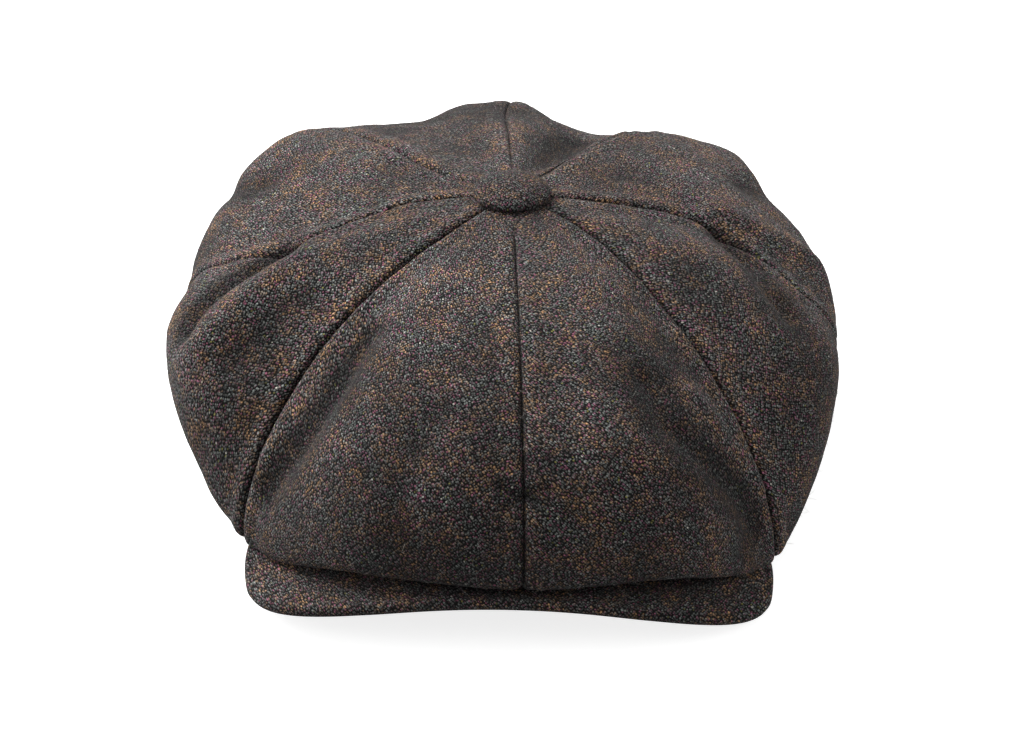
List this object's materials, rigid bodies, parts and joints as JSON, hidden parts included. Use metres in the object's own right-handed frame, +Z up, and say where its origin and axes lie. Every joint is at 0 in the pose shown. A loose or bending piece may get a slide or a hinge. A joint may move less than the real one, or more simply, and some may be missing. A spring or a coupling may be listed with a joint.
{
  "type": "newsboy cap",
  "caption": "Soft newsboy cap: full tweed crown of wedge panels under a cloth-covered button, on a head band with a short arched peak.",
  "frame": {"origin": "middle of the head opening, in the plane of the band's lower edge", "axes": "+Z up along the crown, -Y towards the peak, +X towards the wearer's left"},
  "size_m": [0.2675, 0.2872, 0.1186],
  "materials": {
    "tweed": "brushed woollen tweed, flecked",
    "lining_cloth": "smooth satin-weave lining",
    "interlining_canvas": "stiff woven canvas",
    "sweatband_tape": "ribbed grosgrain",
    "board_plastic": "matte sheet",
    "felt": "thin pressed felt",
    "button_metal": "pressed and tinned",
    "thread": "twisted polyester thread"
  },
  "bodies": {
    "root": {"crown_panel_front_left": "tweed", "crown_panel_side_front_left": "tweed", "crown_panel_side_back_left": "tweed", "crown_panel_back_left": "tweed", "crown_panel_back_right": "tweed", "crown_panel_side_back_right": "tweed", "crown_panel_side_front_right": "tweed", "crown_panel_front_right": "tweed", "lining_panel_front_left": "lining_cloth", "lining_panel_side_front_left": "lining_cloth", "lining_panel_side_back_left": "lining_cloth", "lining_panel_back_left": "lining_cloth", "lining_panel_back_right": "lining_cloth", "lining_panel_side_back_right": "lining_cloth", "lining_panel_side_front_right": "lining_cloth", "lining_panel_front_right": "lining_cloth", "outer_band": "tweed", "band_interlining": "interlining_canvas", "sweatband": "sweatband_tape", "peak_top_cover": "tweed", "peak_under_cover": "tweed", "peak_board": "board_plastic", "peak_padding": "felt", "button_cover": "tweed", "button_shell": "button_metal", "button_prongs": "button_metal", "button_patch": "felt", "front_tack_stitches": "thread"}
  },
  "joints": []
}
